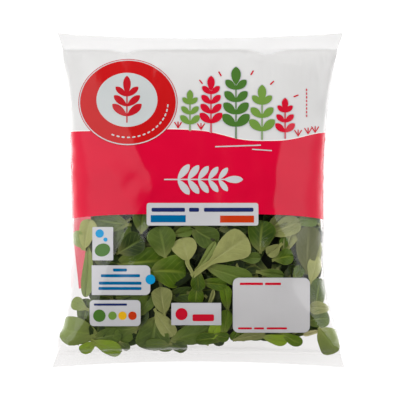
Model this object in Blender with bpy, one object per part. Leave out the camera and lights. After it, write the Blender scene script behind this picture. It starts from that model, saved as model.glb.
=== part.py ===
"""A sealed pillow bag of washed salad leaves, lying on its back with the printed side up.

The bag is one tube of thin film, sealed flat across both ends. Leaves fill its lower two
thirds and air fills the rest, so it is fullest below its middle. Where it lies on its back
the film is pressed flat, and the two seals stand clear of the table as thin fins.

Units are metres. +Z is up, +X runs across the bag and +Y runs towards its top seal. The
origin is under the middle of the bag, on the surface that it lies on.
"""

import math

import bmesh
import bpy
from mathutils import Vector, noise

# Driving dimensions of the outline, seen from above
BAG_LENGTH = 0.2546
WAIST_HALF_LEFT = 0.0964
WAIST_HALF_RIGHT = 0.0934
WAIST_Y = {"left": 0.000, "right": -0.035}
# Corners of the two seals stand out past the waist, each by its own amount
CORNER_FLARE = {
    ("left", "top"): 0.0116,
    ("right", "top"): 0.0163,
    ("left", "bottom"): 0.0149,
    ("right", "bottom"): 0.0178,
}
# Share of a corner's flare that grows steadily from the waist; the rest comes at the seal
STEADY_FLARE = {
    ("left", "top"): 0.45,
    ("right", "top"): 0.45,
    ("left", "bottom"): 0.60,
    ("right", "bottom"): 1.00,
}
# Leaves push each side out near its lower corner: the middle of the push along the bag,
# its reach and its height
SIDE_PUSH = {
    "left": (-0.1045, 0.0065, 0.0040),
    "right": (-0.0960, 0.0160, 0.0022),
}
# The filled body pulls the middle of each cut edge towards the waist
EDGE_BOW = 0.0042
# The sides are never quite straight
SIDE_RIPPLE_HEIGHT = 0.0008
SIDE_RIPPLE_PITCH = 0.020

# Driving dimensions of the thickness
SEAL_DEPTH_TOP = 0.0130
SEAL_DEPTH_BOTTOM = 0.0105
FILM_HALF = 0.0003
SIDE_HEIGHT = 0.0240
FRONT_RISE = 0.0375
BACK_DROP = 0.0345
FLOOR_BLEND = 0.0030

# How the filling is spread along the bag and across it
FULLEST_SHIFT = 0.72
END_ROUNDNESS = 0.72
SECTION_POWER_BODY = 3.0
SECTION_POWER_SEAL = 5.0
SECTION_ROUNDNESS = 2.3

# Relief of the film
PUCKER_HEIGHT = 0.0044
PUCKER_PITCH = 0.0125
PUCKER_LENGTH = 0.060
PUCKER_REACH = 0.026
PUCKER_SPREAD = 2.2
PUCKER_START = 0.008
BUCKLE_HEIGHT = 0.0034
BUCKLE_PITCH = 0.0140
BUCKLE_LENGTH = 0.045
BULGE_HEIGHT = 0.0022
BULGE_PITCH = 0.0190
LEAVES_FULL_BELOW = -0.010
LEAVES_END_ABOVE = 0.055
SOFT_FOLD_HEIGHT = 0.0026
SOFT_FOLD_PITCH = 0.034
SOFT_FOLD_LENGTH = 0.070
SOFT_FOLDS_FROM = -0.020
SOFT_FOLDS_FULL = 0.040
# Where the bag is thinner than this its relief dies away
RELIEF_NEEDS = 0.014
# The back is wrinkled in another place than the front
BACK_SHIFT = 0.31

# How the two seals hang
DROOP_FROM = 0.080
SEAL_DROOP = 0.0040
SEAL_WAVE = 0.0024
SEAL_WAVES = 2.7
SEAL_PHASE = {"top": 0.6, "bottom": -1.0}

# Where the print changes, as distances from the middle of the bag
BAND_TOP = 0.050
BAND_BOTTOM = -0.011

# Faces across the bag, and along its body and each seal
FACES_ACROSS = 42
FACES_BODY = 40
FACES_SEAL = 3
# How much closer together the faces lie at the sides and near the seals
SIDE_CROWDING = 0.78
SEAL_CROWDING = 0.55
SHARP_ANGLE = math.radians(60)

INNER_TOP = BAG_LENGTH / 2 - SEAL_DEPTH_TOP
INNER_BOTTOM = -BAG_LENGTH / 2 + SEAL_DEPTH_BOTTOM


def clear_scene():
    for obj in list(bpy.data.objects):
        bpy.data.objects.remove(obj)


def smooth_step(low, high, value):
    share = min(1.0, max(0.0, (value - low) / (high - low)))
    return share * share * (3 - 2 * share)


def end_of(y, middle=0.0):
    """Which end of the bag a height along it belongs to."""
    return "top" if y > middle else "bottom"


def flare(side, y):
    """How far the outline stands out past the waist at a height along the bag."""
    waist = WAIST_Y[side]
    corner = side, end_of(y, waist)
    reach = BAG_LENGTH / 2 - waist if y > waist else BAG_LENGTH / 2 + waist
    share = abs(y - waist) / reach
    steady = STEADY_FLARE[corner]
    return CORNER_FLARE[corner] * (steady * share**2 + (1 - steady) * share**6)


def push(side, y):
    """How far the leaves inside push a side out at a height along the bag."""
    place, reach, height = SIDE_PUSH[side]
    return height * math.exp(-(((y - place) / reach) ** 2))


def ripples(across, along, kind):
    """Smooth random height between about -1 and 1, of its own for each kind of relief."""
    kinds = ("side", "pucker", "buckle", "bulge", "soft fold")
    return noise.noise(Vector((across, along, 0.5 + 2.3 * kinds.index(kind))))


def outline(y):
    """The middle and the half width of the outline at a height along the bag."""
    ripple = SIDE_RIPPLE_HEIGHT * ripples(0.0, y / SIDE_RIPPLE_PITCH, "side")
    left = WAIST_HALF_LEFT + flare("left", y) + push("left", y) + ripple
    right = WAIST_HALF_RIGHT + flare("right", y) + push("right", y) - ripple
    return (right - left) / 2, (right + left) / 2


def fullness(y):
    """0 at the seals and 1 at the fullest place along the bag."""
    along = (y - INNER_BOTTOM) / (INNER_TOP - INNER_BOTTOM)
    along = min(1.0, max(0.0, along))
    return max(0.0, math.sin(math.pi * along**FULLEST_SHIFT)) ** END_ROUNDNESS


def crown(across, full):
    """Height of the round section from its side, 0, to its middle, 1."""
    power = SECTION_POWER_SEAL + (SECTION_POWER_BODY - SECTION_POWER_SEAL) * full
    return max(0.0, 1 - abs(across) ** power) ** (1 / SECTION_ROUNDNESS)


def side_height(across, y):
    """Height of the bag's side above the table. Each seal droops and waves a little."""
    to_end = smooth_step(DROOP_FROM, BAG_LENGTH / 2, abs(y))
    droop = SEAL_DROOP * to_end**2
    wave = SEAL_WAVE * to_end * math.sin(SEAL_WAVES * across + SEAL_PHASE[end_of(y)])
    return SIDE_HEIGHT - droop + wave


def puckers(x, y):
    """Furrows that run out from each seal and fade into the body."""
    from_seal = min(INNER_TOP - y, y - INNER_BOTTOM)
    if from_seal <= 0:
        return 0.0
    fade = smooth_step(0.0, PUCKER_START, from_seal) * math.exp(-from_seal / PUCKER_REACH)
    pitch = PUCKER_PITCH * (1 + PUCKER_SPREAD * from_seal)
    furrow = ripples(x / pitch, y / PUCKER_LENGTH, "pucker")
    return PUCKER_HEIGHT * fade * furrow


def buckles(across, x, y, full):
    """Short folds along both sides, where the film is pushed together lengthways."""
    near_side = abs(across) ** 4
    fold = ripples(x / BUCKLE_LENGTH, y / BUCKLE_PITCH, "buckle")
    return BUCKLE_HEIGHT * near_side * full * fold


def bulges(x, y):
    """Bumps where leaves press on the film, only as high up as the leaves reach."""
    leaves = 1 - smooth_step(LEAVES_FULL_BELOW, LEAVES_END_ABOVE, y)
    return BULGE_HEIGHT * leaves * ripples(x / BULGE_PITCH, y / BULGE_PITCH, "bulge")


def soft_folds(x, y):
    """Broad shallow folds that slant across the half-empty upper part."""
    upper = smooth_step(SOFT_FOLDS_FROM, SOFT_FOLDS_FULL, y)
    slant = (x + y / 2) / SOFT_FOLD_PITCH
    return SOFT_FOLD_HEIGHT * upper * ripples(slant, y / SOFT_FOLD_LENGTH, "soft fold")


def relief(across, x, y, full, face):
    """All small shape of the film, held back where the bag is too thin to carry it."""
    shift = 0.0 if face == "front" else BACK_SHIFT
    total = puckers(x + shift, y) + buckles(across, x + shift, y, full)
    total += (bulges(x + shift, y) + soft_folds(x + shift, y)) * crown(across, full)
    thickness = (FRONT_RISE + BACK_DROP) * full * crown(across, full)
    return total * smooth_step(0.0, RELIEF_NEEDS, thickness)


def pressed_flat(height):
    """Height held above the table: 0 where the film lies on it, with a soft way up."""
    if height <= -FLOOR_BLEND:
        return 0.0
    if height >= FLOOR_BLEND:
        return height
    return (height + FLOOR_BLEND) ** 2 / (4 * FLOOR_BLEND)


def film_point(across, y, face):
    """A point of the film: across is -1 at the left side and 1 at the right."""
    middle, half = outline(y)
    x = middle + across * half
    full = fullness(y)
    side = side_height(across, y)
    arch = crown(across, full) * full
    bump = relief(across, x, y, full, face)
    if face == "front":
        z = side + FRONT_RISE * arch + bump + FILM_HALF
    else:
        z = pressed_flat(side - BACK_DROP * arch - bump - FILM_HALF)
    end = (abs(y) / (BAG_LENGTH / 2)) ** 4
    bow = EDGE_BOW * end * (1 - across * across)
    return Vector((x, y - math.copysign(bow, y), z))


def spread_across(share):
    """Places across the bag, closer together at its round sides."""
    crowded = math.sin(math.pi / 2 * share)
    return SIDE_CROWDING * crowded + (1 - SIDE_CROWDING) * share


def station(row):
    """Place along the bag of a row of points, closer together near the seals."""
    if row <= FACES_SEAL:
        return -BAG_LENGTH / 2 + SEAL_DEPTH_BOTTOM * row / FACES_SEAL
    if row >= FACES_SEAL + FACES_BODY:
        return INNER_TOP + SEAL_DEPTH_TOP * (row - FACES_SEAL - FACES_BODY) / FACES_SEAL
    share = (row - FACES_SEAL) / FACES_BODY
    crowded = (1 - math.cos(math.pi * share)) / 2
    eased = SEAL_CROWDING * crowded + (1 - SEAL_CROWDING) * share
    return INNER_BOTTOM + (INNER_TOP - INNER_BOTTOM) * eased


def film_material(name, colour, roughness):
    material = bpy.data.materials.new(name)
    material.use_nodes = True
    shader = material.node_tree.nodes["Principled BSDF"]
    shader.inputs["Base Color"].default_value = (*colour, 1.0)
    shader.inputs["Roughness"].default_value = roughness
    shader.inputs["Metallic"].default_value = 0.0
    material.diffuse_color = (*colour, 1.0)
    return material


def print_zone(y):
    """Which of the bag's materials a face has, by its place along the bag."""
    if y > INNER_TOP or y < INNER_BOTTOM:
        return 0
    if y > BAND_TOP:
        return 1
    if y > BAND_BOTTOM:
        return 2
    return 3


def make_bag(collection):
    """One grid of faces, extruded to a slab, whose two sides become front and back."""
    rows = 2 * FACES_SEAL + FACES_BODY
    bm = bmesh.new()
    bmesh.ops.create_grid(bm, x_segments=FACES_ACROSS, y_segments=rows, size=1.0)
    raised = bmesh.ops.extrude_face_region(bm, geom=bm.faces[:], use_keep_orig=True)
    front = {v for v in raised["geom"] if isinstance(v, bmesh.types.BMVert)}
    for vert in bm.verts:
        across = spread_across(vert.co.x)
        row = round((vert.co.y + 1) / 2 * rows)
        vert.co = film_point(across, station(row), "front" if vert in front else "back")
    low = [min(v.co[axis] for v in bm.verts) for axis in range(3)]
    high = [max(v.co[axis] for v in bm.verts) for axis in range(3)]
    centre = Vector(((low[0] + high[0]) / 2, (low[1] + high[1]) / 2, low[2]))
    bmesh.ops.translate(bm, verts=bm.verts[:], vec=-centre)
    bmesh.ops.recalc_face_normals(bm, faces=bm.faces[:])
    for face in bm.faces:
        face.material_index = print_zone(face.calc_center_median().y + centre.y)
    mesh = bpy.data.meshes.new("salad_bag")
    bm.to_mesh(mesh)
    bm.free()
    mesh.materials.append(film_material("clear_film_seal", (0.88, 0.88, 0.87), 0.25))
    mesh.materials.append(film_material("white_print", (0.74, 0.74, 0.75), 0.30))
    mesh.materials.append(film_material("red_print", (0.62, 0.010, 0.040), 0.30))
    mesh.materials.append(film_material("leaves_in_window", (0.085, 0.150, 0.040), 0.35))
    mesh.shade_smooth()
    mesh.set_sharp_from_angle(angle=SHARP_ANGLE)
    bag = bpy.data.objects.new("salad_bag", mesh)
    collection.objects.link(bag)
    return bag


def main():
    clear_scene()
    collection = bpy.data.collections.new("bag_of_salad_leaves")
    bpy.context.scene.collection.children.link(collection)
    make_bag(collection)


main()
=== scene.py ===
# %% [markdown]
# # A clear bag of salad leaves
#
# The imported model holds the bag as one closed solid. This lesson dresses it: a thin
# wrinkled film takes the solid's place, leaves fill it, and the print lies on the film.
#
# Everything is in metres. +X runs across the bag, +Y towards its top seal, and +Z away
# from the table that the bag lies on.

# %% Load the model that every piece is fitted to
import math
import random

import bpy
from mathutils import Matrix, Vector, noise
from mathutils.bvhtree import BVHTree


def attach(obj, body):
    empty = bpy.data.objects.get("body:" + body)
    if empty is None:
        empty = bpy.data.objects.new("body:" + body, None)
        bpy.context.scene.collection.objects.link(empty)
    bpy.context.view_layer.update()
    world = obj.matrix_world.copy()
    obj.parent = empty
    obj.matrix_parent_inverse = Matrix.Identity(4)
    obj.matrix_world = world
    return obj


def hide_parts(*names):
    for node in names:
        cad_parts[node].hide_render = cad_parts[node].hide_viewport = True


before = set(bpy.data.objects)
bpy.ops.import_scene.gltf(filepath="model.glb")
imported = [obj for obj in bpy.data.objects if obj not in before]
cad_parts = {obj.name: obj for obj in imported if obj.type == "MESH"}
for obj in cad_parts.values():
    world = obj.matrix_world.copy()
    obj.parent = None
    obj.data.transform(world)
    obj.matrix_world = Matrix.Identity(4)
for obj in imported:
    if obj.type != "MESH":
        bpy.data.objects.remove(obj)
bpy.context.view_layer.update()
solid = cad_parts["salad_bag"]
dice = random.Random(125)


def rounded(values):
    """Lengths to a tenth of a millimetre, for printing."""
    return [round(value, 4) for value in values]


# %% [markdown]
# ## The camera
#
# The bag stood upright for its photograph and lies on its back here, so the camera looks
# straight down. A long lens keeps the outline nearly free of perspective. The camera
# comes first because many places below are read off the photograph: a ray from the
# camera through a pixel meets the bag exactly where that pixel shows it.

# %% Camera straight above the bag
PHOTO_SIDE = 400
CAMERA_PLACE = Vector((0.0012, 0.0, 1.5))
SIDE_HEIGHT = 0.024
# One pixel at the height of the bag's sides, from the bag's length and its pixels
PIXEL = 0.0007586
SENSOR = 36.0

bpy.ops.object.camera_add(location=CAMERA_PLACE, rotation=(0, 0, 0))
camera = bpy.context.object
camera.name = "camera"
camera.data.sensor_width = SENSOR
camera.data.lens = SENSOR * (CAMERA_PLACE.z - SIDE_HEIGHT) / (PHOTO_SIDE * PIXEL)
camera.data.clip_end = 20
bpy.context.scene.camera = camera
print("lens", round(camera.data.lens, 1), "mm")


def at_height(px, py, height):
    """The point at a height above the table that a pixel shows."""
    size = PIXEL * (CAMERA_PLACE.z - height) / (CAMERA_PLACE.z - SIDE_HEIGHT)
    x = CAMERA_PLACE.x + (px - PHOTO_SIDE / 2) * size
    return Vector((x, (PHOTO_SIDE / 2 - py) * size, height))


# %% [markdown]
# ## Helpers for modelling
#
# Blender's operators act on whatever is selected, so each step first deselects all and
# then picks its own object. Modifiers are applied as soon as they are added, which
# leaves every finished piece a plain mesh.

# %% Select, edit and apply
def only(obj):
    """Make one object the whole selection."""
    if bpy.context.mode != "OBJECT":
        bpy.ops.object.mode_set(mode="OBJECT")
    bpy.ops.object.select_all(action="DESELECT")
    obj.select_set(True)
    bpy.context.view_layer.objects.active = obj
    return obj


def edit(obj):
    """Open one object in edit mode with everything in it selected."""
    only(obj)
    bpy.ops.object.mode_set(mode="EDIT")
    bpy.ops.mesh.select_all(action="SELECT")


def done(obj):
    """Leave edit mode and put the object's place into its mesh."""
    only(obj)
    bpy.ops.object.transform_apply(location=True, rotation=True, scale=True)
    return obj


def apply_modifier(obj, kind, **settings):
    """Add a modifier with its settings and apply it."""
    only(obj)
    modifier = obj.modifiers.new(kind.lower(), kind)
    for name, value in settings.items():
        setattr(modifier, name, value)
    bpy.ops.object.modifier_apply(modifier=modifier.name)


def joined(objects, name):
    """Join objects into one piece with a new name."""
    only(objects[0])
    for obj in objects[1:]:
        obj.select_set(True)
    if len(objects) > 1:
        bpy.ops.object.join()
    objects[0].name = name
    objects[0].data.name = name
    return objects[0]


def smooth(low, high, value):
    """0 below low, 1 above high and a soft step between them."""
    share = min(1.0, max(0.0, (value - low) / (high - low)))
    return share * share * (3 - 2 * share)


# %% [markdown]
# ## The film's shape
#
# The real film is one thin tube, sealed flat across both ends. It could be simulated as
# cloth with air inside, but the solid already has the right body, so a copy of it is
# merged, turned back into quads and subdivided. Fine wrinkles are then moved in: short
# puckers that run out of the seals, folds across the two sides, and a few long creases
# whose sharp crests cut the reflections into facets, as in the photograph.

# %% Copy the solid and subdivide it
MERGE = 0.00001
QUAD_ANGLE = math.radians(50)

film = bpy.data.objects.new("film", solid.data.copy())
bpy.context.scene.collection.objects.link(film)
edit(film)
bpy.ops.mesh.remove_doubles(threshold=MERGE)
bpy.ops.mesh.tris_convert_to_quads(face_threshold=QUAD_ANGLE, shape_threshold=QUAD_ANGLE)
only(film)
quads = sum(1 for face in film.data.polygons if len(face.vertices) == 4)
print("quads", quads, "of", len(film.data.polygons), "faces")

# %% Keep the four corners of the bag crisp
CORNER_REACH = 0.001

outermost = {}
for vertex in film.data.vertices:
    key = (vertex.co.x > 0, vertex.co.y > 0)
    reach = abs(vertex.co.x) + abs(vertex.co.y)
    outermost[key] = max(outermost.get(key, 0), reach)
crisp = [abs(v.co.x) + abs(v.co.y) > outermost[v.co.x > 0, v.co.y > 0] - CORNER_REACH
         for v in film.data.vertices]
creases = film.data.attributes.new("crease_vert", "FLOAT", "POINT")
creases.data.foreach_set("value", [1.0 if sharp else 0.0 for sharp in crisp])
print("crisp corner points", sum(crisp))
apply_modifier(film, "SUBSURF", levels=2, render_levels=2)

# %% Where the film is creased, as pixels of the photograph
SEAL_TOP_INNER = 0.1143
SEAL_BOTTOM_INNER = -0.1168
CREASE_LEVEL = 0.052
# Each crease runs from one pixel to another, with its height and width in metres
CREASES = [
    ((133, 140), (155, 187), 0.0013, 0.011),
    ((155, 187), (136, 218), 0.0011, 0.010),
    ((106, 160), (137, 218), 0.0004, 0.008),
    ((285, 128), (276, 165), 0.0010, 0.010),
    ((276, 165), (272, 226), 0.0012, 0.011),
    ((118, 58), (164, 66), 0.0010, 0.006),
    ((255, 58), (300, 64), 0.0009, 0.007),
    ((186, 58), (176, 100), 0.0007, 0.009),
    ((132, 216), (124, 238), 0.0016, 0.009),
    ((124, 238), (108, 268), 0.0016, 0.010),
    ((108, 268), (98, 305), 0.0012, 0.009),
    ((272, 214), (286, 238), 0.0019, 0.009),
    ((286, 238), (304, 274), 0.0020, 0.010),
    ((120, 358), (130, 322), 0.0007, 0.005),
    ((240, 356), (236, 330), 0.0008, 0.005),
    ((300, 300), (336, 350), 0.0010, 0.006),
    ((92, 310), (64, 354), 0.0010, 0.006),
]
crease_lines = [
    (at_height(*start, CREASE_LEVEL).xy, at_height(*end, CREASE_LEVEL).xy, height, width)
    for start, end, height, width in CREASES
]


def crease(place):
    """Height of the sharp-crested creases at a place on the front."""
    total = 0.0
    for start, end, height, width in crease_lines:
        run = end - start
        share = (place - start).dot(run) / run.length_squared
        aside = (place - start - run * share).length
        ends = smooth(-0.2, 0.15, share) * (1 - smooth(0.85, 1.2, share))
        total += height * ends * math.exp(-aside / width)
    return total


print("creases", len(crease_lines))

# %% Move the wrinkles in
PUCKER, PUCKER_PITCH, PUCKER_REACH = 0.0009, 0.0065, 0.012
SIDE_FOLD, SIDE_FOLD_PITCH = 0.0005, 0.0075
DIMPLE, DIMPLE_PITCH = 0.0003, 0.011
SEAL_WAVE = 0.0005
# Wrinkles grow over this distance from a seal, and side folds between these slants
WRINKLE_START = 0.006
STEEP_FROM, STEEP_FULL = 0.35, 0.9


def ridged(x, y, z):
    """Random height between 0 and 1 with narrow crests."""
    return 1 - 2 * abs(noise.noise(Vector((x, y, z))))


def wrinkle(point, normal):
    """How far the film stands out at a point of its body."""
    from_seal = min(SEAL_TOP_INNER - point.y, point.y - SEAL_BOTTOM_INNER)
    if from_seal <= 0:
        return 0.0
    start = smooth(0.0, WRINKLE_START, from_seal)
    side = 0.0 if normal.z > 0 else 5.0
    pucker = PUCKER * math.exp(-from_seal / PUCKER_REACH)
    pucker *= ridged(point.x / PUCKER_PITCH, point.y / 0.03, 3.0 + side)
    steep = smooth(STEEP_FROM, STEEP_FULL, 1 - abs(normal.z))
    fold = SIDE_FOLD * steep * ridged(point.z / 0.02, point.y / SIDE_FOLD_PITCH, 8.0 + side)
    dimple = DIMPLE * noise.noise(point / DIMPLE_PITCH)
    total = pucker + fold + dimple
    if normal.z > 0.2:
        total += crease(point.xy)
    return total * start


mesh = film.data
moved = []
for vertex in mesh.vertices:
    point, normal = vertex.co.copy(), vertex.normal.copy()
    point += normal * wrinkle(point, normal)
    if point.y > SEAL_TOP_INNER or point.y < SEAL_BOTTOM_INNER:
        point.z += SEAL_WAVE * noise.noise(Vector((point.x / 0.018, point.y / 0.012, 1.0)))
    point.z = max(0.0, point.z)
    moved.append(point)
for vertex, point in zip(mesh.vertices, moved):
    vertex.co = point
mesh.update()
only(film)
bpy.ops.object.shade_smooth_by_angle(angle=math.radians(65))
print("film points", len(mesh.vertices))

# %% A quick way to ask where the film is
film_tree = BVHTree.FromPolygons(
    [vertex.co for vertex in mesh.vertices],
    [tuple(face.vertices) for face in mesh.polygons],
)


def through_pixel(px, py):
    """Point and normal of the film where a pixel shows its front."""
    aim = (at_height(px, py, 0.0) - CAMERA_PLACE).normalized()
    point, normal, _, _ = film_tree.ray_cast(CAMERA_PLACE, aim)
    return point, normal


def film_heights(x, y):
    """Heights of the film's back and front above a place, or of its side outside it."""
    heights = []
    for start, way in ((-0.1, 1), (0.2, -1)):
        point, _, _, _ = film_tree.ray_cast(Vector((x, y, start)), Vector((0, 0, way)))
        heights.append(point.z if point else SIDE_HEIGHT)
    return heights


def kept_inside(point, margin):
    """The point, moved in if it lies outside the film or closer to it than the margin."""
    surface, normal, _, _ = film_tree.find_nearest(point)
    if (point - surface).dot(normal) > -margin:
        return surface - normal * margin
    return point


middle, _ = through_pixel(200, 200)
print("front at the middle", rounded(middle))

# %% [markdown]
# ## Writing materials as sums
#
# A pattern is easiest to read as arithmetic. The class below wraps one socket of the
# material, and each + - * / or ** on it adds the Math node that does that sum. A
# Recipe makes every other node with one method: its type, its settings, then its inputs.

# %% Sums on sockets
class Sum:
    """One socket, which can be added, multiplied and so on with others or with numbers."""

    def __init__(self, recipe, socket):
        self.recipe = recipe
        self.socket = socket

    def math(self, operation, *values):
        inputs = dict(enumerate(values))
        return self.recipe.node("Math", {"operation": operation}, inputs).out()

    def __add__(self, other):
        return self.math("ADD", self, other)

    def __sub__(self, other):
        return self.math("SUBTRACT", self, other)

    def __rsub__(self, other):
        return self.math("SUBTRACT", other, self)

    def __mul__(self, other):
        return self.math("MULTIPLY", self, other)

    def __truediv__(self, other):
        return self.math("DIVIDE", self, other)

    def __pow__(self, other):
        return self.math("POWER", self, other)

    def __abs__(self):
        return self.math("ABSOLUTE", self)

    def __neg__(self):
        return self.math("MULTIPLY", self, -1.0)

    def __lt__(self, other):
        return self.math("LESS_THAN", self, other)

    def __gt__(self, other):
        return self.math("GREATER_THAN", self, other)

    __radd__ = __add__
    __rmul__ = __mul__

    def sine(self):
        return self.math("SINE", self)

    def exp(self):
        return self.math("EXPONENT", self)

    def larger(self, other):
        return self.math("MAXIMUM", self, other)

    def step(self, low, high):
        """A soft step: 0 at low and 1 at high."""
        settings = {"interpolation_type": "SMOOTHSTEP"}
        inputs = {"Value": self, "From Min": low, "From Max": high}
        return self.recipe.node("MapRange", settings, inputs).out()


class Made:
    """A node that a recipe made, whose outputs are handed on as sums."""

    def __init__(self, recipe, node):
        self.recipe = recipe
        self.node = node

    def out(self, name=0):
        return Sum(self.recipe, self.node.outputs[name])


class Recipe:
    """The nodes of one material or of the world."""

    def __init__(self, tree):
        self.tree = tree
        tree.nodes.clear()

    def node(self, kind, settings=None, inputs=None):
        """Make a shader node of a kind, set its settings, then link or set its inputs."""
        node = self.tree.nodes.new("ShaderNode" + kind)
        for name, value in (settings or {}).items():
            setattr(node, name, value)
        for name, value in (inputs or {}).items():
            if isinstance(value, Sum):
                self.tree.links.new(value.socket, node.inputs[name])
            else:
                node.inputs[name].default_value = value
        return Made(self, node)

    def place(self):
        """The three Object coordinates."""
        where = self.node("TexCoord").out("Object")
        split = self.node("SeparateXYZ", inputs={0: where})
        return where, split.out("X"), split.out("Y"), split.out("Z")

    def grain(self, where, scale, detail=2.0, roughness=0.5):
        """Noise between 0 and 1."""
        inputs = {"Vector": where, "Scale": scale, "Detail": detail, "Roughness": roughness}
        return self.node("TexNoise", inputs=inputs).out("Fac")

    def mixed(self, share, first, second):
        """The first colour where share is 0 and the second where it is 1."""
        inputs = {0: share, 6: first, 7: second}
        return self.node("Mix", {"data_type": "RGBA"}, inputs).out(2)

    def bump(self, height, strength, distance):
        """A normal from a height."""
        inputs = {"Height": height, "Strength": strength, "Distance": distance}
        return self.node("Bump", inputs=inputs).out("Normal")

    def principled(self, inputs):
        """The shader for plain surfaces."""
        return self.node("BsdfPrincipled", inputs=inputs).out()

    def finish(self, surface):
        """Hand the surface to the material's output."""
        self.node("OutputMaterial", inputs={"Surface": surface})


def new_material(name):
    """An empty material and its recipe."""
    material = bpy.data.materials.new(name)
    material.use_nodes = True
    return material, Recipe(material.node_tree)


def paint(obj, material):
    """Give an object one material."""
    obj.data.materials.clear()
    obj.data.materials.append(material)


def linear(red, green, blue):
    """A colour read off the screen as 0 to 255, turned into light."""
    values = []
    for value in (red, green, blue):
        share = value / 255
        low = share <= 0.04045
        values.append(share / 12.92 if low else ((share + 0.055) / 1.055) ** 2.4)
    return (*values, 1.0)


# %% [markdown]
# ## The film's finish
#
# Clear film lets nine tenths of the light through and mirrors a little of it, more at a
# slant: about 3% comes back where it is looked at squarely, and most of it edge on. The
# print is opaque ink inside the same film: a red band with a wavy top all round the bag,
# greyish white above it up to the seal, and a thinner red panel low on the back, of which
# only a strip shows through the window. One Principled shader does all of this: the
# print sets its colour, and a Mix Shader lets the light through elsewhere.

# %% Film and print
RED_INK = linear(218, 8, 54)
RED_INK_THIN = linear(212, 5, 50)
PANEL_GREY = linear(217, 216, 215)
SEAL_WHITE = linear(252, 252, 252)
LINE_WHITE = linear(238, 236, 234)
FILM_TINT = (0.918, 0.910, 0.908, 1.0)
# Light that comes through the thin red panel on the back
RED_TINT = (0.97, 0.24, 0.28, 1.0)
BAND_TOP, BAND_LOW = 0.0519, -0.0104
# How far the band's low edge sags at both sides of the bag, and more at its right
BAG_SIDE = 0.095
BAND_SAG, BAND_SAG_RIGHT = 0.0035, 0.0009
# Humps of an edge: the place across, half width and height of each
BAND_HOLLOW = (0.050, 0.034, 0.0076)
BAND_HILL = (-0.025, 0.030, 0.0012)
SEAL_DIPS = ((-0.056, 0.007, 0.0034), (0.052, 0.009, 0.0046))
BACK_PANEL_LOW = -0.068
BACK_PANEL_LEFT, BACK_PANEL_RIGHT = -0.0978, 0.0860
BACK_PANEL_TAPER = 0.088
BACK_BELOW = 0.0215
SQUARE_ON_GLOSS = 0.030
INK_GLOSS = 0.22
# White haze in the top and bottom seals: partly the film's own haze, partly painted light
# that hides the shade the bag casts on the floor under them
SEAL_HAZE_AND_LIGHT_TOP, SEAL_HAZE_AND_LIGHT_BOTTOM = 0.50, 0.10
BACK_INK_COVER = 0.25
LINE_HALF = 0.0003
FINE_CRINKLES, SOFT_CRINKLES = 150.0, 45.0
RIB_PITCH = 0.0016
RIBS_FROM, RIBS_FULL = 0.1170, 0.1180


def film_bump(recipe, where, y):
    """The finest crinkles, the same on the film and on the inks printed on it."""
    fine = recipe.grain(where, FINE_CRINKLES, 1.0)
    soft = recipe.grain(where, SOFT_CRINKLES, 1.0)
    ribs = (y * (2 * math.pi / RIB_PITCH)).sine() * abs(y).step(RIBS_FROM, RIBS_FULL)
    height = fine * 0.35 + soft + ribs * 0.03
    return recipe.bump(height, 0.15, 0.0012)


def hump(x, place, half, height, power=2):
    """A smooth hump of an edge that runs across the bag."""
    return (-((abs(x - place) / half) ** power)).exp() * height


film_finish, recipe = new_material("printed_clear_film")
where, x, y, z = recipe.place()
top_edge = BAND_TOP - hump(x, *BAND_HOLLOW, power=3) + hump(x, *BAND_HILL)
sag = (abs(x) / BAG_SIDE) ** 4 * BAND_SAG
sag_right = (x.larger(0.0) / BAG_SIDE) ** 6 * BAND_SAG_RIGHT
low_edge = BAND_LOW - sag - sag_right
above = y > top_edge
band = (y > low_edge) * (1 - above)
left_dip, right_dip = [hump(x, *dip) for dip in SEAL_DIPS]
panel_top = SEAL_TOP_INNER - left_dip - right_dip
panel = above * (y < panel_top)
top_seal = y > panel_top
bottom_seal = y < SEAL_BOTTOM_INNER
seal = top_seal + bottom_seal
# Haze and painted light: the seals are made partly opaque white
seal_haze_and_light = top_seal * SEAL_HAZE_AND_LIGHT_TOP + bottom_seal * SEAL_HAZE_AND_LIGHT_BOTTOM
back_side = (x > BACK_PANEL_LEFT - y * BACK_PANEL_TAPER) * (x < BACK_PANEL_RIGHT)
back = (z < BACK_BELOW) * (y > BACK_PANEL_LOW) * back_side * (y < low_edge)
edge_line = abs(y - top_edge) < LINE_HALF
opaque = (band + panel).larger(back * BACK_INK_COVER).larger(edge_line).larger(seal_haze_and_light)
mottle = recipe.grain(where, 30.0, 2.0)
colour = recipe.mixed(mottle, RED_INK_THIN, RED_INK)
colour = recipe.mixed(panel, colour, PANEL_GREY)
colour = recipe.mixed(edge_line, colour, LINE_WHITE)
colour = recipe.mixed(seal, colour, SEAL_WHITE)
inked = opaque > 0.001
colour = recipe.mixed(inked, (1.0, 1.0, 1.0, 1.0), colour)
slant = recipe.node("LayerWeight", inputs={"Blend": 0.5}).out("Facing")
gloss = SQUARE_ON_GLOSS + slant**5 * (1 - SQUARE_ON_GLOSS)
ink = recipe.principled({
    "Base Color": colour,
    "Metallic": 1 - inked,
    "Roughness": 0.10 + inked * 0.08 + recipe.grain(where, 60.0) * 0.05,
    "Specular IOR Level": INK_GLOSS,
    "Normal": film_bump(recipe, where, y),
})
tint = recipe.mixed(back, FILM_TINT, RED_TINT)
clear = recipe.node("BsdfTransparent", inputs={"Color": tint})
surface = recipe.node("MixShader", inputs={
    0: opaque + (1 - opaque) * gloss, 1: clear.out(), 2: ink,
})
recipe.finish(surface.out())
paint(film, film_finish)
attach(film, "root")
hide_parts("salad_bag")
print("film finish nodes", len(film_finish.node_tree.nodes))

# %% [markdown]
# ## The leaves' shape
#
# A lamb's lettuce leaf is a small spoon: a narrow pale stem that widens into a round
# blade, cupped a little, with a groove along its middle. Every leaf starts as a flat
# grid. Its UV map keeps where on the leaf each point is, 0 to 1 across and 0 to 1 from
# the foot of the stem to the tip, so that veins follow the leaf however it bends.

# %% One leaf from a flat grid
STEM_SHARE = 0.30
STEM_HALF, LONG_STEM_HALF = 0.0011, 0.0020


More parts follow.
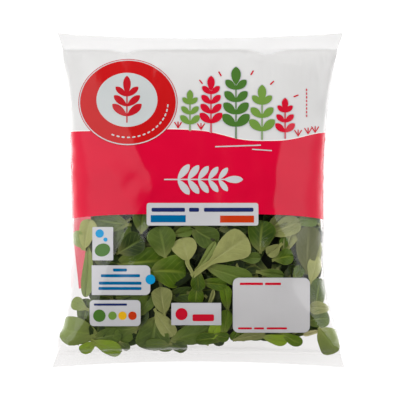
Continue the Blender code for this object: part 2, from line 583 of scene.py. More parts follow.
def leaf_grid(name, across, along):
    """A flat square of faces, 2 wide and 2 long, ready to be pressed into a leaf."""
    bpy.ops.mesh.primitive_grid_add(x_subdivisions=across, y_subdivisions=along, size=2)
    obj = bpy.context.object
    obj.name = name
    return obj


def blade_half(share, spoon):
    """Half width of the blade as a share of its widest, from its foot, 0, to its tip, 1.

    spoon is about 0.4 for a nearly round blade and 1.1 for one that widens slowly.
    """
    widest = (spoon / (spoon + 2)) ** (spoon / 4) * math.sqrt(2 / (spoon + 2))
    return share**spoon * math.sqrt(max(0.0, 1 - share**4)) / widest


def leaf_point(u, v, leaf):
    """A point of a leaf lying flat: u is -1 to 1 across, v is 0 to 1 along."""
    if v < STEM_SHARE:
        run = leaf["stem"] * v / STEM_SHARE
        share = 0.0
    else:
        share = (v - STEM_SHARE) / (1 - STEM_SHARE)
        share = math.sin(share * math.pi / 2) ** 1.1
        run = leaf["stem"] + leaf["blade"] * share
    blade = leaf["width"] / 2 * blade_half(share, leaf["spoon"])
    half = math.hypot(leaf["stem_half"] * (1 - 0.6 * share), blade)
    half *= 1 + 0.05 * math.sin(2.6 * math.pi * share + leaf["phase"] + u)
    length = leaf["stem"] + leaf["blade"]
    centre = leaf["stem"] + leaf["blade"] * 0.55
    cup = leaf["cup"] * half * u * u
    fold = leaf["fold"] * half * abs(u)
    groove = -0.0007 * math.exp(-((u / 0.18) ** 2)) * smooth(0, 0.3, share)
    frill = 0.10 * half * u * u * math.sin(9 * share + leaf["phase"] + 1.3 * u)
    curl = leaf["curl"] * length * ((run - centre) / length) ** 2
    bend = leaf["bend"] * length * ((run - centre) / length) ** 2
    return Vector((u * half + bend, run - centre, cup + fold + groove + frill - curl))


print("half widths of a blade", [round(blade_half(part / 4, 0.5), 2) for part in (1, 2, 3)])

# %% Where the heap lies
# The heap ends above the lower seal, a little higher at the right. Clear film shows in a
# strip at the left, along both edges and in the lower right corner.
HEAP_BOTTOM, HEAP_BOTTOM_RIGHT = -0.1105, -0.1062
BARE_LEFT, BARE_LEFT_LOW = -0.0850, -0.088
BARE_EDGE = 0.0980
BARE_CORNER = (0.0770, -0.1000)
# How far under the film leaves stay: all of them, and the filling under the front
LEAF_MARGIN, FRONT_MARGIN = 0.0010, 0.0042


def in_heap(point):
    """Whether a point of the filling lies where the photograph shows leaves."""
    rise = HEAP_BOTTOM_RIGHT - HEAP_BOTTOM
    low_end = HEAP_BOTTOM + rise * smooth(-0.018, 0.012, point.x)
    bare_left = point.x < BARE_LEFT and point.y > BARE_LEFT_LOW
    bare_corner = point.x > BARE_CORNER[0] and point.y < BARE_CORNER[1]
    bare = bare_left or bare_corner or abs(point.x) > BARE_EDGE
    return point.y > low_end and not bare


def fill_margin(point):
    """How far under the film the filling stays: deeper in front, behind what shows."""
    return FRONT_MARGIN if point.z > SIDE_HEIGHT + 0.006 else LEAF_MARGIN


print("heap ends at", HEAP_BOTTOM, "to", HEAP_BOTTOM_RIGHT)

# %% Press a leaf into its place
def pressed(grid, leaf, frame_of_leaf, follow):
    """A copy of the grid shaped as one leaf, or None where it would lie outside the heap.

    A leaf that follows lies along the film's front, wherever it is asked for.
    """
    points = []
    for vertex in grid.data.vertices:
        flat = leaf_point(vertex.co.x, (vertex.co.y + 1) / 2, leaf)
        point = frame_of_leaf @ flat
        if follow:
            drop = leaf["depth"] - flat.z + leaf["tilt"] * flat.x + leaf["nod"] * flat.y
            back, front = film_heights(point.x, point.y)
            point.z = max(front - max(LEAF_MARGIN, drop), back + LEAF_MARGIN)
        points.append(kept_inside(point, LEAF_MARGIN if follow else fill_margin(point)))
    if not follow and not all(in_heap(point) for point in points):
        return None
    obj = bpy.data.objects.new("leaf", grid.data.copy())
    bpy.context.scene.collection.objects.link(obj)
    for vertex, point in zip(obj.data.vertices, points):
        vertex.co = point
    tone = obj.data.attributes.new("tone", "FLOAT", "POINT")
    tone.data.foreach_set("value", [leaf["tone"]] * len(obj.data.vertices))
    return obj


def turned(angle, axis="Z"):
    """A turn about one axis."""
    return Matrix.Rotation(angle, 4, axis)


def random_leaf(size):
    """The sizes and bends of one leaf, drawn by the dice."""
    blade = size * dice.uniform(0.85, 1.15)
    return {
        "blade": blade,
        "width": blade * dice.uniform(0.62, 0.84),
        "spoon": dice.uniform(0.5, 1.1),
        "fold": dice.uniform(-0.05, 0.35),
        "stem": blade * dice.uniform(0.15, 0.45),
        "stem_half": STEM_HALF,
        "cup": dice.uniform(-0.25, 0.45),
        "curl": dice.uniform(-0.5, 0.9),
        "bend": dice.uniform(-0.5, 0.5),
        "phase": dice.uniform(0, 6.3),
        "tone": dice.uniform(-1, 1),
        "tilt": dice.uniform(-0.12, 0.12),
        "nod": dice.uniform(-0.08, 0.08),
    }


# %% [markdown]
# ## Leaves that the photograph shows
#
# About eighty leaves can be made out through the window. Each is placed by the pixel at
# the middle of its blade, the way its tip points in degrees (0 is right, 90 is up), its
# blade's length and width in pixels, its stem, how deep it lies under the film in
# millimetres, and its kind. They are laid close under the film and follow it.

# %% Where each leaf lies
# The kinds of leaf: the piece that each belongs to, and its tone. A tone below -0.9 adds
# painted shade, and one above 1.2 adds a paler colour and painted light.
DARK, MID, LIGHT, LIT = [("leaf_tops", tone) for tone in (-0.8, 0.3, 1.2, 2.2)]
DEEP, BRIGHT, FRESH, LIME = [("leaf_young", tone) for tone in (-0.7, 0.0, 1.2, 2.4)]
DIM, DULL, PALE, PALEST = [("leaf_undersides", tone) for tone in (-1.45, -0.45, 0.5, 2.2)]
SHOWN_LEAVES = [
    # px, py, tip, blade, width, stem, depth, kind
    (230.5, 248.3, 34, 44, 32, 24, 0.6, PALE),
    (185, 248, 105, 23, 25, 4, 1.0, PALE),
    (189, 267, 118, 17, 3.2, 2, 1.0, PALE),
    (208.5, 253.5, 57, 30, 7.5, 5, 1.4, LIT),
    (162, 240, 102, 31, 28, 3, 1.2, MID),
    (132, 245, 30, 28, 24, 3, 1.8, DARK),
    (142, 219, 85, 24, 19, 2, 2.4, MID),
    (143, 262, 5, 50, 30, 3, 2.8, BRIGHT),
    (170, 271, 356, 35, 33, 3, 2.0, BRIGHT),
    (162, 299, 98, 26, 21, 3, 1.0, DULL),
    (145, 305, 60, 22, 16, 4, 3.0, LIGHT),
    (165, 326, 306, 30, 17, 4, 1.0, PALE),
    (153, 336.5, 258, 36, 34, 4, 2.2, MID),
    (165, 347, 265, 15, 15, 2, 3.0, LIGHT),
    (156, 344, 185, 24, 12, 3, 0.9, LIGHT),
    (174, 341, 300, 20, 16, 3, 3.2, MID),
    (75.5, 331.5, 172, 40, 30, 5, 1.6, LIT),
    (87, 348.5, 214, 18, 12, 3, 0.6, LIME),
    (109, 348.2, 335, 29, 17, 4, 0.8, LIME),
    (108, 336, 10, 30, 16, 4, 2.4, MID),
    (97, 333, 80, 22, 18, 3, 3.6, DARK),
    (122, 337, 40, 22, 18, 3, 3.2, LIGHT),
    (125, 347, 320, 11, 9, 2, 2.0, MID),
    (88, 275, 266, 50, 13, 4, 1.4, LIT),
    (87, 232, 78, 29, 18, 3, 1.0, PALE),
    (77, 238.5, 125, 17, 15, 3, 0.8, LIT),
    (108, 222, 170, 36, 22, 4, 2.6, MID),
    (121, 238, 65, 32, 17, 4, 3.4, MID),
    (78, 304.5, 152, 16, 14, 4, 1.2, LIT),
    (85, 312, 80, 30, 19, 4, 3.0, MID),
    (118, 331, 190, 34, 20, 4, 2.8, MID),
    (131, 340, 30, 20, 13, 4, 4.0, DARK),
    (190, 335, 15, 36, 22, 4, 2.4, LIGHT),
    (178, 346.8, 330, 21, 14, 4, 2.6, MID),
    (198, 282, 272, 20, 14, 3, 1.2, BRIGHT),
    (196, 296, 265, 18, 16, 3, 2.6, BRIGHT),
    (182, 295, 5, 28, 16, 4, 4.2, DARK),
    (205, 236, 330, 32, 22, 4, 3.0, MID),
    (236, 226, 10, 30, 18, 4, 3.6, DARK),
    (261, 234.5, 84, 31, 28, 2, 1.6, DEEP),
    (273, 251, 215, 15, 13, 4, 1.2, DULL),
    (285, 257, 10, 19, 16, 3, 1.6, BRIGHT),
    (251, 258, 0, 22, 11, 4, 2.2, MID),
    (232, 275, 343, 48, 19, 4, 1.4, LIGHT),
    (273, 274, 352, 24, 10, 4, 2.6, MID),
    (299, 272, 60, 16, 11, 4, 2.8, BRIGHT),
    (308, 246, 86, 44, 26, 4, 1.2, DIM),
    (315, 267.5, 78, 25, 16, 4, 0.9, PALE),
    (318, 292, 80, 30, 21, 3, 1.4, MID),
    (319, 308, 175, 22, 13, 3, 1.0, DULL),
    (319, 319, 5, 25, 18, 3, 1.8, MID),
    (330.5, 341.5, 311, 31, 28, 0, 0.5, LIT),
    (311, 333, 195, 17, 4.5, 2, 0.4, PALEST),
    (293, 340, 332, 23, 11, 3, 1.2, FRESH),
    (277, 340, 350, 24, 12, 3, 1.4, LIME),
    (252, 336, 10, 30, 10, 3, 0.7, DULL),
    (208, 339, 185, 28, 13, 4, 1.8, BRIGHT),
    (222, 337, 350, 16, 10, 3, 1.6, BRIGHT),
    (214, 331, 60, 24, 12, 4, 2.2, LIME),
    (236, 335.5, 240, 15, 10, 3, 2.8, BRIGHT),
    (243, 336, 305, 13, 9, 3, 2.2, BRIGHT),
    (219, 339, 262, 18, 12, 3, 3.2, DARK),
    (286, 333, 350, 30, 16, 3, 4.6, DARK),
    (262, 334, 195, 30, 12, 3, 4.2, MID),
    (293, 332, 175, 24, 12, 3, 5.0, DARK),
    (216, 284, 355, 24, 13, 4, 1.8, BRIGHT),
    (212, 297, 72, 16, 4, 5, 2.0, DULL),
    (226, 296, 98, 24, 12, 4, 2.4, FRESH),
    (226, 321, 84, 25, 13, 4, 2.2, FRESH),
    (201, 331, 30, 26, 18, 4, 3.0, LIGHT),
    (287, 227, 20, 32, 20, 4, 1.8, DULL),
    (128, 296, 15, 30, 18, 4, 4.0, MID),
    (100, 296, 170, 26, 15, 4, 3.4, DARK),
    (108, 262, 350, 28, 16, 4, 3.4, DARK),
    (215, 318, 70, 24, 16, 4, 4.0, DARK),
    (268, 336, 185, 20, 11, 4, 3.2, DARK),
    (140, 318, 70, 24, 15, 4, 3.6, DARK),
    (184, 232, 15, 18, 11, 3, 2.4, LIGHT),
    (279, 221, 25, 20, 14, 3, 2.4, DIM),
    (290, 239, 68, 22, 14, 3, 2.4, DULL),
    (284, 243, 85, 13, 9, 2, 2.0, BRIGHT),
    (307, 221, 0, 24, 12, 3, 2.2, LIGHT),
    (317, 251, 86, 24, 10, 2, 1.8, DULL),
]
print("leaves that show", len(SHOWN_LEAVES))

# %% Place them
# A leaf with a long stem widens slowly from it
LONG_STEM = 6
ROUND_BLADE, SPOON_BLADE = 0.52, 0.85
# Pressed on the film, a leaf bends and folds less than a free one
FLATTER = 0.4
LEAST_DEPTH = 0.0006

piles = {"leaf_tops": [], "leaf_young": [], "leaf_undersides": []}
fine_grid = leaf_grid("fine_leaf", 8, 14)
for px, py, tip, blade, width, stem, depth, (pile, tone) in SHOWN_LEAVES:
    place, _ = through_pixel(px, py)
    size = PIXEL * (CAMERA_PLACE.z - place.z) / (CAMERA_PLACE.z - SIDE_HEIGHT)
    leaf = random_leaf(blade * size)
    leaf.update(blade=blade * size, width=width * size, stem=max(2, stem) * size)
    leaf.update(depth=depth / 1000 + LEAST_DEPTH, curl=0.15, spoon=ROUND_BLADE)
    leaf.update(bend=leaf["bend"] * FLATTER, fold=leaf["fold"] * FLATTER)
    leaf.update(cup=dice.uniform(-0.15, 0.2), tone=tone + dice.uniform(-0.2, 0.2))
    if stem >= LONG_STEM:
        leaf.update(spoon=SPOON_BLADE, stem_half=LONG_STEM_HALF)
        leaf.update(curl=0.03, tilt=0.0, nod=0.0)
    turn = turned(math.radians(tip - 90))
    piles[pile].append(pressed(fine_grid, leaf, Matrix.Translation(place) @ turn, True))
print("placed", {name: len(pile) for name, pile in piles.items()})

# %% [markdown]
# ## The leaves behind them
#
# The rest of the filling is drawn by seeded dice. Some leaves lie along the film all
# round the bag, as they do where the heap presses on it, and others lie every way
# inside. They reach up behind the red band, which hides where they stop.

# %% Leaves that lie along the film
LYING_LEAVES = 500
FILL_TOP, FILL_BOTTOM = 0.012, -0.108
LEAF_SIZE = 0.023
# Tones of the leaves that lie in the shade of others
SHADED = (-2.2, -0.6)
# The lower end of the heap shows from in front too, so more leaves lie there
LOW_END, LOW_WEIGHT = -0.082, 3.0

coarse_grid = leaf_grid("coarse_leaf", 4, 8)
lying_faces = [face for face in mesh.polygons if FILL_BOTTOM < face.center.y < FILL_TOP]
areas = [face.area * (LOW_WEIGHT if face.center.y < LOW_END else 1.0)
         for face in lying_faces]


def add_leaf(leaf, place, turn, behind):
    """Put a leaf on a pile, no pale one behind those that show, and say whether it fits."""
    made = pressed(coarse_grid, leaf, Matrix.Translation(place) @ turn, False)
    if made:
        weights = (7, 2, 0) if behind else (7, 2, 1)
        piles[dice.choices(list(piles), weights=weights)[0]].append(made)
    return made is not None


filled = 0
while filled < LYING_LEAVES:
    face = dice.choices(lying_faces, weights=areas)[0]
    normal = face.normal.copy()
    leaf = random_leaf(LEAF_SIZE)
    behind = normal.z > 0.6
    if behind:
        leaf.update(tone=dice.uniform(*SHADED))
    deep = dice.uniform(0.0045, 0.0100) if behind else dice.uniform(0.0030, 0.0090)
    out = normal if dice.random() < 0.7 else -normal
    turn = out.to_track_quat("Z", "Y").to_matrix().to_4x4()
    turn = turn @ turned(dice.uniform(0, 2 * math.pi)) @ turned(dice.gauss(0, 0.22), "X")
    filled += add_leaf(leaf, face.center - normal * deep, turn, behind)
print("lying leaves", filled)

# %% Leaves that lie every way inside
INNER_LEAVES = 120
FILL_SIDE = 0.085

while filled < LYING_LEAVES + INNER_LEAVES:
    x = dice.uniform(-FILL_SIDE, FILL_SIDE)
    y = dice.uniform(FILL_BOTTOM + 0.008, FILL_TOP)
    back, front = film_heights(x, y)
    low, high = back + 0.004, front - 0.007
    place = Vector((x, y, dice.uniform(min(low, high), high)))
    turn = turned(dice.uniform(0, 2 * math.pi)) @ turned(dice.uniform(-0.8, 0.8), "X")
    leaf = random_leaf(LEAF_SIZE)
    leaf.update(tone=dice.uniform(*SHADED))
    filled += add_leaf(leaf, place, turn, True)
for grid in (fine_grid, coarse_grid):
    bpy.data.objects.remove(grid)
print("leaves of the filling", filled)

# %% A dark core: painted shade in the middle of the heap
CORE_DEPTH = 0.0085
CORE_LEFT, CORE_RIGHT = -0.076, 0.082
CORE_LOW, CORE_HIGH = -0.097, 0.014
CORE_RELIEF = 0.0025

bpy.ops.mesh.primitive_cube_add(size=1, location=(0.5, 0.5, 0.5))
core = done(bpy.context.object)
core.name = "painted_shade_core"
edit(core)
bpy.ops.mesh.subdivide(number_cuts=31)
only(core)
for vertex in core.data.vertices:
    x = CORE_LEFT + (CORE_RIGHT - CORE_LEFT) * vertex.co.x
    y = CORE_LOW + (CORE_HIGH - CORE_LOW) * vertex.co.y
    back, front = film_heights(x, y)
    low, high = back + CORE_DEPTH, front - CORE_DEPTH
    low = min(low, (low + high) / 2 - 0.0005)
    high = max(high, low + 0.001)
    point = Vector((x, y, low + (high - low) * vertex.co.z))
    relief = CORE_RELIEF * noise.noise(point / 0.007)
    vertex.co = kept_inside(point, CORE_DEPTH - 0.0015 + relief)
bpy.ops.object.shade_smooth()
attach(core, "root")
print("core faces", len(core.data.polygons))

# %% Join the leaves into three pieces
LEAF_THICKNESS = 0.00045

leaves = {}
for name, pile in piles.items():
    print(name, len(pile), "leaves")
    piece = joined(pile, name)
    apply_modifier(piece, "SOLIDIFY", thickness=LEAF_THICKNESS, offset=0.0)
    only(piece)
    bpy.ops.object.shade_smooth_by_angle(angle=math.radians(50))
    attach(piece, "root")
    leaves[name] = piece
    print(name, sum(len(face.vertices) - 2 for face in piece.data.polygons), "triangles")

# %% [markdown]
# ## The leaves' finish
#
# The upper face is deep green and softly glossy, paler along the veins. The underside
# is matt and grey-green. Stems are paler where they begin. Veins are drawn from the UV
# map as sums: one down the middle, and others that slant off it to both sides. The edge
# has a painted highlight. Leaves of a low tone get painted shade, and leaves of a high
# tone get a paler colour with painted light.

# %% Leaf finishes
DEEP_SHADE = linear(20, 28, 12)
STEM_PALE = linear(158, 162, 92)
SIDE_VEINS, VEIN_SLANT = 9, 2.2


def leaf_finish(name, gloss, *shades):
    """A leaf of two greens with pale veins and stem, a painted highlight on its edge, painted
    shade at a low tone and a paler colour with painted light at a high one.
    """
    material, recipe = new_material(name)
    deep, light, pale_and_lit, vein = [linear(*shade) for shade in shades]
    where, _, _, _ = recipe.place()
    on_leaf = recipe.node("UVMap", {"uv_map": "UVMap"}).out()
    split = recipe.node("SeparateXYZ", inputs={0: on_leaf})
    across = abs(split.out("X") * 2 - 1)
    along = split.out("Y")
    tone = recipe.node("Attribute", {"attribute_name": "tone"}).out("Fac")
    patches = recipe.grain(where, 90.0, 3.0, 0.6)
    share = (patches * 0.7 + tone * 0.35 + across * 0.1).step(0.0, 0.85)
    colour = recipe.mixed(share, deep, light)
    # Paler colour and painted light: leaves whose tone is above 1.2 grow brighter, partly as
    # paler leaves and partly as if more light fell on them
    colour = recipe.mixed(tone.step(1.2, 2.6) * 0.9, colour, pale_and_lit)
    middle = (1 - across.step(0.02, 0.16)) * (1 - along.step(0.45, 1.0))
    run = along * SIDE_VEINS - across * VEIN_SLANT
    side = (run * (2 * math.pi)).sine().step(0.70, 1.0)
    side = side * (1 - across.step(0.6, 0.95)) * 0.28
    veins = middle.larger(side)
    colour = recipe.mixed(veins * 0.6, colour, vein)
    # Painted highlight: a pale rim along the edge of the leaf
    colour = recipe.mixed(across.step(0.90, 0.99) * 0.3, colour, vein)
    foot = 1 - along.step(STEM_SHARE * 0.6, STEM_SHARE * 1.8)
    colour = recipe.mixed(foot * 0.7, colour, STEM_PALE)
    # Little light reaches the leaves deep in the heap, whose tone is below -1
    colour = recipe.mixed((-tone).step(0.9, 2.2) * 0.85, colour, DEEP_SHADE)
    relief = recipe.grain(where, 380.0, 2.0) * 0.4 + patches - veins * 0.5
    recipe.finish(recipe.principled({
        "Base Color": colour,
        "Roughness": gloss + patches * 0.12,
        "Specular IOR Level": 0.24,
        "Normal": recipe.bump(relief, 0.5, 0.0012),
    }))
    return material


finishes = {
    "leaf_tops": leaf_finish(
        "upper_green", 0.38, (42, 60, 18), (100, 122, 48), (140, 154, 82), (132, 152, 70)),
    "leaf_young": leaf_finish(
        "young_green", 0.38, (44, 68, 8), (98, 128, 20), (152, 182, 46), (148, 164, 60)),
    "leaf_undersides": leaf_finish(
        "underside_green", 0.52, (126, 132, 74), (174, 178, 110), (205, 198, 146),
        (184, 186, 124)),
}
# The core's dark greens are painted shade: a sheet that stands for the shaded depth of the
# heap, so that the gaps between leaves stay dark
core_finish, recipe = new_material("painted_deep_shade")
where, _, _, _ = recipe.place()
patches = recipe.grain(where, 110.0, 2.0).step(0.35, 0.7)
recipe.finish(recipe.principled({
    "Base Color": recipe.mixed(patches, linear(14, 20, 9), linear(34, 46, 20)),
    "Roughness": 0.7,
    "Specular IOR Level": 0.1,
}))
paint(core, core_finish)

for name, piece in leaves.items():
    paint(piece, finishes[name])
    "pale_leaf" if name == "leaf_undersides" else "green_leaf"

# %% [markdown]
# ## Print on the front
#
# The labels and ornaments are ink on the film. They are drawn flat, with one unit for
# one pixel of the photograph, as rounded rectangles, discs, leaf shapes and strokes.
# All shapes of one ink become one piece, which is cut into small cells and then laid on
# the film point by point along the camera's rays.

# %% Flat shapes, drawn in pixels
inks = []


class Ink:
    """Collects the flat shapes of one ink."""

    def __init__(self, name, level, colour, slot):
        self.name = name
        self.level = level
        self.colour = linear(*colour)
        self.slot = slot
        self.shapes = []
        inks.append(self)

    def keep(self, px, py, degrees=0.0):
        """Turn the newest shape and move it to its pixel."""
        obj = bpy.context.object
        obj.rotation_euler.z = math.radians(degrees)
        obj.location = (px, -py, 0)
        self.shapes.append(done(obj))

    def box(self, left, top, right, bottom, corner=0.0, sharp_left=False):
        """A rectangle with round corners, only at its right if its left is sharp."""
        middle_x, middle_y = (left + right) / 2, (top + bottom) / 2
        self.bar(middle_x, middle_y, right - left, bottom - top, 0.0, corner, sharp_left)

    def bar(self, px, py, length, width, degrees=0.0, corner=0.0, sharp_left=False):
        """A rectangle about its middle, turned by some degrees."""
        bpy.ops.mesh.primitive_plane_add(size=1)
        obj = bpy.context.object
        obj.scale = (length, width, 1)
        done(obj)
        if corner:
            edit(obj)
            bpy.ops.mesh.select_all(action="DESELECT")
            bpy.ops.object.mode_set(mode="OBJECT")
            for vertex in obj.data.vertices:
                vertex.select = vertex.co.x > 0 or not sharp_left
            bpy.ops.object.mode_set(mode="EDIT")
            bpy.ops.mesh.bevel(offset=corner, segments=5, affect="VERTICES")
        self.keep(px, py, degrees)

    def stroke(self, px, py, length, width, degrees=0.0):
        """A bar with fully round ends."""
        self.bar(px, py, length, width, degrees, 0.499 * min(length, width))

    def disc(self, px, py, radius, radius_high=None, degrees=0.0):
        bpy.ops.mesh.primitive_circle_add(vertices=56, radius=1, fill_type="NGON")
        obj = bpy.context.object
        obj.scale = (radius, radius_high or radius, 1)
        done(obj)
        self.keep(px, py, degrees)

    def leaf(self, px, py, length, width, degrees):
        """A leaf shape with a point at both ends, from its foot at the pixel."""
        bpy.ops.mesh.primitive_circle_add(vertices=24, radius=1, fill_type="NGON")
        obj = bpy.context.object
        for vertex in obj.data.vertices:
            pinch = abs(vertex.co.y) ** 0.5
            fuller = 1 + 0.25 * vertex.co.x
            vertex.co.y *= pinch * fuller * width / 2
            vertex.co.x = (vertex.co.x + 1) * length / 2
        self.keep(px, py, degrees)


# %% A sprig of such leaves
def heading(degrees):
    """One step long, the way that some degrees point: 0 is right and 90 is up."""
    angle = math.radians(degrees)
    return Vector((math.cos(angle), math.sin(angle)))


def sprig(layers, px, py, height, pairs, blade, width, degrees=90.0, lean=48.0):
    """A stem with pairs of leaves and one at its tip, growing from the pixel.

    Each layer is an ink and a margin, and a margin above 0 draws a halo round the shapes.
    """
    ahead = heading(degrees)
    for ink, margin in layers:
        half = height / 2
        ink.stroke(px + ahead.x * half, py - ahead.y * half,
                   height, 1.3 + 2 * margin, degrees)
        for pair in range(pairs):
            run = height * (0.22 + 0.66 * pair / max(1, pairs - 1))
            scale = 1.0 - 0.22 * pair / max(1, pairs - 1)
            for side in (-1, 1):
                foot_x, foot_y = px + ahead.x * run, py - ahead.y * run
                turn = degrees + side * lean
                aside = heading(turn)
                ink.leaf(foot_x - aside.x * margin, foot_y + aside.y * margin,
                         blade * scale + 2 * margin, width * scale + 2 * margin, turn)
        tip_x, tip_y = px + ahead.x * height, py - ahead.y * height
        ink.leaf(tip_x - ahead.x * (2 + margin), tip_y + ahead.y * (2 + margin),
                 blade + 2 * margin, width + 2 * margin, degrees)


# %% Inks
badge_line = Ink("print_badge_line", 0, (196, 22, 25), "red_ink")
white = Ink("print_white", 1, (202, 201, 204), "white_ink")
grey = Ink("print_date_field", 1.5, (204, 202, 203), "white_ink")
red = Ink("print_red", 2, (206, 20, 46), "red_ink")
badge_red = Ink("print_badge", 2, (196, 22, 25), "red_ink")
navy = Ink("print_navy", 2, (30, 42, 96), "blue_ink")
blue = Ink("print_blue", 2, (0, 99, 150), "blue_ink")
sky = Ink("print_light_blue", 2, (20, 150, 208), "blue_ink")
green = Ink("print_green", 2, (74, 116, 48), "green_leaf")
light_green = Ink("print_light_green", 2, (114, 150, 66), "green_leaf")
orange = Ink("print_orange", 2, (198, 57, 20), "red_ink")
yellow = Ink("print_yellow", 2, (238, 182, 30), "white_ink")
badge_white = Ink("print_badge_middle", 3, (199, 203, 203), "white_ink")
badge_sprig = Ink("print_badge_sprig", 4, (190, 24, 36), "red_ink")
print("inks", len(inks))

# %% Badge
BADGE = (128, 102.5)
badge_line.disc(*BADGE, 49.6, 43.4)
white.disc(*BADGE, 48.9, 42.7)
badge_red.disc(*BADGE, 47.8, 41.6)
badge_white.disc(127, 100, 30.5, 27)
sprig([(badge_sprig, 0)], 127, 123, 30, 3, 19, 7.6, lean=50.0)
for step in range(15):
    degrees = -112 + 7.6 * step
    dash = heading(degrees)
    badge_white.stroke(BADGE[0] + 40 * dash.x, BADGE[1] - 35 * dash.y, 3.2, 1.5, degrees + 90)

# %% A row of plain sprigs above the band
GARDEN = [
    # foot px, foot py, height, pairs, blade, width, ink
    (190, 131, 30, 3, 13, 6.5, light_green),
    (211, 133, 44, 4, 15, 7.5, red),
    (236, 139, 56, 4, 18, 9.5, green),
    (262, 140, 40, 3, 17, 8.5, light_green),
    (285, 139, 30, 3, 13, 6.5, red),
]
for px, py, height, pairs, blade, width, ink in GARDEN:
    sprig([(white, 0.9), (ink, 0)], px, py, height, pairs, blade, width)
for px, py, degrees in [(220, 74, 120), (252, 73, 60), (201, 82, 130), (272, 83, 45),
                        (296, 96, 20)]:
    red.stroke(px, py, 5.5, 1.4, degrees)
for step in range(8):
    red.stroke(306.5, 90 + 3.7 * step, 2.6, 1.2, 90)
# Tufts of grass on the band's edge, and two thin lines of ground below
for px, py in [(178, 128), (201, 129.5), (298, 136), (308, 134), (315, 132.5)]:
    for degrees in (58, 90, 122):
        red.stroke(px + heading(degrees).x * 3.4, py - 3, 7, 1.1, degrees)
white.stroke(238, 146, 46, 1.2, 2)
white.stroke(262, 150, 20, 1.1, -4)

# %% A lying sprig on the band
sprig([(white, 0)], 164, 179.5, 62, 5, 19, 7.2, degrees=0.0, lean=52.0)

# %% Label with a stripe of three colours
white.box(146.6, 203, 258.4, 225.6, 2.5)
for left, right in [(151.5, 185), (189, 199), (204, 253.5)]:
    navy.box(left, 207.8, right, 211.8, 1.2)
blue.box(150.7, 215.2, 185.7, 222.3)
orange.box(220.1, 215.6, 254, 222.6)

# %% Labels on the window
white.box(92.5, 227, 113.3, 260.4, 1.2)
sky.disc(99.8, 233.5, 4.2)
sky.disc(105.6, 239.6, 2.1)
green.disc(102.6, 250, 7.8, 6.4, 20)

white.box(91.8, 265.3, 150.4, 295, 5, sharp_left=True)
for left, top, right in [(113, 268.5, 127), (101, 274.2, 140), (99, 281.6, 141.5),
                         (98.5, 286.9, 141.5)]:
    blue.box(left, top, right, top + 3.0, 1.0)
sky.disc(150.4, 279.4, 4.9)

white.box(89.8, 300, 140.6, 326, 4)
navy.box(94, 303.4, 127, 305.6, 0.8)
green.disc(99.4, 315.6, 6.2)
for px, ink in [(112.5, light_green), (122.5, yellow), (132.5, orange)]:
    ink.disc(px, 315.6, 4.2)

white.box(171.3, 302.8, 221.2, 325)
red.disc(181.5, 314, 6.0)
red.box(192.5, 314.2, 214, 321, 1.6)

white.box(232.8, 277.7, 309.8, 332.5, 6)
grey.box(234, 278.9, 308.6, 331.3, 5.2)
for left, right in [(239.8, 263), (265, 281)]:
    red.box(left, 282.6, right, 285.0, 0.8)
for left, right in [(238, 252), (254, 264), (266.5, 287)]:
    red.box(left, 327.2, right, 329.2, 0.8)

print("flat shapes", sum(len(ink.shapes) for ink in inks))

# %% Cut the shapes into cells and lay them on the film
CELL = 2.0
INK_LIFT, INK_LEVEL = 0.00014, 0.00006


def cut_into_cells(piece):
    """Cut a flat piece along both directions, so that it can follow the film."""
    xs = [vertex.co.x for vertex in piece.data.vertices]
    ys = [vertex.co.y for vertex in piece.data.vertices]
    edit(piece)
    for values, normal in ((xs, (1, 0, 0)), (ys, (0, 1, 0))):
        cuts = range(math.ceil(min(values) / CELL), math.floor(max(values) / CELL) + 1)
        for cut in cuts:
            place = tuple(cut * CELL * share for share in normal)
            bpy.ops.mesh.select_all(action="SELECT")
            bpy.ops.mesh.bisect(plane_co=place, plane_no=normal)
    only(piece)


def lay_on_film(piece, lift):
    """Move every point of a flat piece, drawn in pixels, onto the film."""
    for vertex in piece.data.vertices:
        point, normal = through_pixel(vertex.co.x, -vertex.co.y)
        vertex.co = point + normal * lift
    edit(piece)
    bpy.ops.mesh.normals_make_consistent(inside=False)
    only(piece)
    if sum(face.normal.z for face in piece.data.polygons) < 0:
        edit(piece)
        bpy.ops.mesh.flip_normals()
        only(piece)
    bpy.ops.object.shade_smooth()


print("cells of", round(CELL * PIXEL * 1000, 2), "mm")

# %% Inks on the film
def ink_finish(name, colour):
    """Ink under the film's own gloss and crinkles."""
    material, recipe = new_material(name)
    where, _, y, _ = recipe.place()
    mottle = recipe.grain(where, 30.0, 2.0)
    darker = (colour[0] * 0.95, colour[1] * 0.95, colour[2] * 0.95, 1.0)
    recipe.finish(recipe.principled({
        "Base Color": recipe.mixed(mottle, darker, colour),
        "Roughness": 0.14 + mottle * 0.04,
        "Specular IOR Level": INK_GLOSS,
        "Normal": film_bump(recipe, where, y),
    }))
    return material


for ink in inks:
    piece = joined(ink.shapes, ink.name)
    cut_into_cells(piece)
    lay_on_film(piece, INK_LIFT + INK_LEVEL * ink.level)
    paint(piece, ink_finish(ink.name + "_ink", ink.colour))
    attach(piece, "root")
    print(ink.name, len(piece.data.polygons), "faces")

# %% [markdown]
# ## Floor and light
#
# The photograph has a white ground, two tall white panels of light at the left and the
# right, and darkness over the bag where the camera stands. The film mirrors the dark
# where it lies level, so the leaves show clearly there, and mirrors the panels where it
# slopes to either side. The world makes the panels, as two bright sides of the sky, and
# they give all the light. A lamp overhead would show its own image in the film. The
# ground glows a little, as a light table does, so that it stays white.

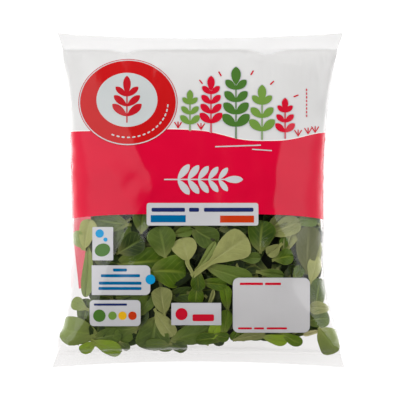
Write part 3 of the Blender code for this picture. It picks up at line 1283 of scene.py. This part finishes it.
# %% Floor
bpy.ops.mesh.primitive_plane_add(size=6, location=(0, 0, -0.0006))
floor = done(bpy.context.object)
floor.name = "floor"
floor_finish, recipe = new_material("pale_floor")
recipe.finish(recipe.principled({
    "Base Color": (0.30, 0.30, 0.30, 1.0),
    "Roughness": 0.8,
    "Specular IOR Level": 0.1,
    "Emission Color": (1.0, 1.0, 1.0, 1.0),
    "Emission Strength": 0.90,
}))
paint(floor, floor_finish)
floor.visible_glossy = False

# %% Light panels
LEFT_LIGHT, RIGHT_LIGHT = 2.15, 2.42
END_LIGHT, OVERHEAD_LIGHT, GROUND_LIGHT = 0.12, 0.02, 0.80
LEFT_PANEL_FROM, RIGHT_PANEL_FROM = 0.24, 0.46
PANEL_LEAN, PANEL_EDGE = 0.7, 0.03
# The panels end short of the horizon
FAR_FROM, FAR_FULL, FAR_LOSS = 0.86, 0.99, 0.55
END_FROM, END_FULL = 0.50, 0.90
GROUND_FROM, GROUND_FULL = 0.66, 0.88

world = bpy.data.worlds.new("light_panels")
bpy.context.scene.world = world
world.use_nodes = True
recipe = Recipe(world.node_tree)
aim = recipe.node("TexCoord").out("Generated")
split = recipe.node("SeparateXYZ", inputs={0: aim})
aside, endways = split.out("X"), split.out("Y")
lean = (-endways).larger(0.0) * PANEL_LEAN
right_panel = (aside - lean).step(RIGHT_PANEL_FROM, RIGHT_PANEL_FROM + PANEL_EDGE)
left_panel = (-aside - lean).step(LEFT_PANEL_FROM, LEFT_PANEL_FROM + PANEL_EDGE)
ends = abs(endways).step(END_FROM, END_FULL) * (END_LIGHT - OVERHEAD_LIGHT)
panels = (left_panel * LEFT_LIGHT).larger(right_panel * RIGHT_LIGHT)
panels = panels * (1 - abs(aside).step(FAR_FROM, FAR_FULL) * FAR_LOSS)
# Film that stands nearly upright, along the bag's outline, mirrors the white ground
ground = (-split.out("Z")).step(GROUND_FROM, GROUND_FULL) * GROUND_LIGHT
strength = panels.larger(ground).larger(OVERHEAD_LIGHT + ends)
seen = recipe.node("LightPath").out("Is Camera Ray")
strength = strength.larger(seen)
glow = {"Color": (1, 1, 1, 1), "Strength": strength}
background = recipe.node("Background", inputs=glow)
recipe.node("OutputWorld", inputs={"Surface": background.out()})
print("world nodes", len(world.node_tree.nodes))

bpy.context.scene.view_settings.view_transform = "Standard"
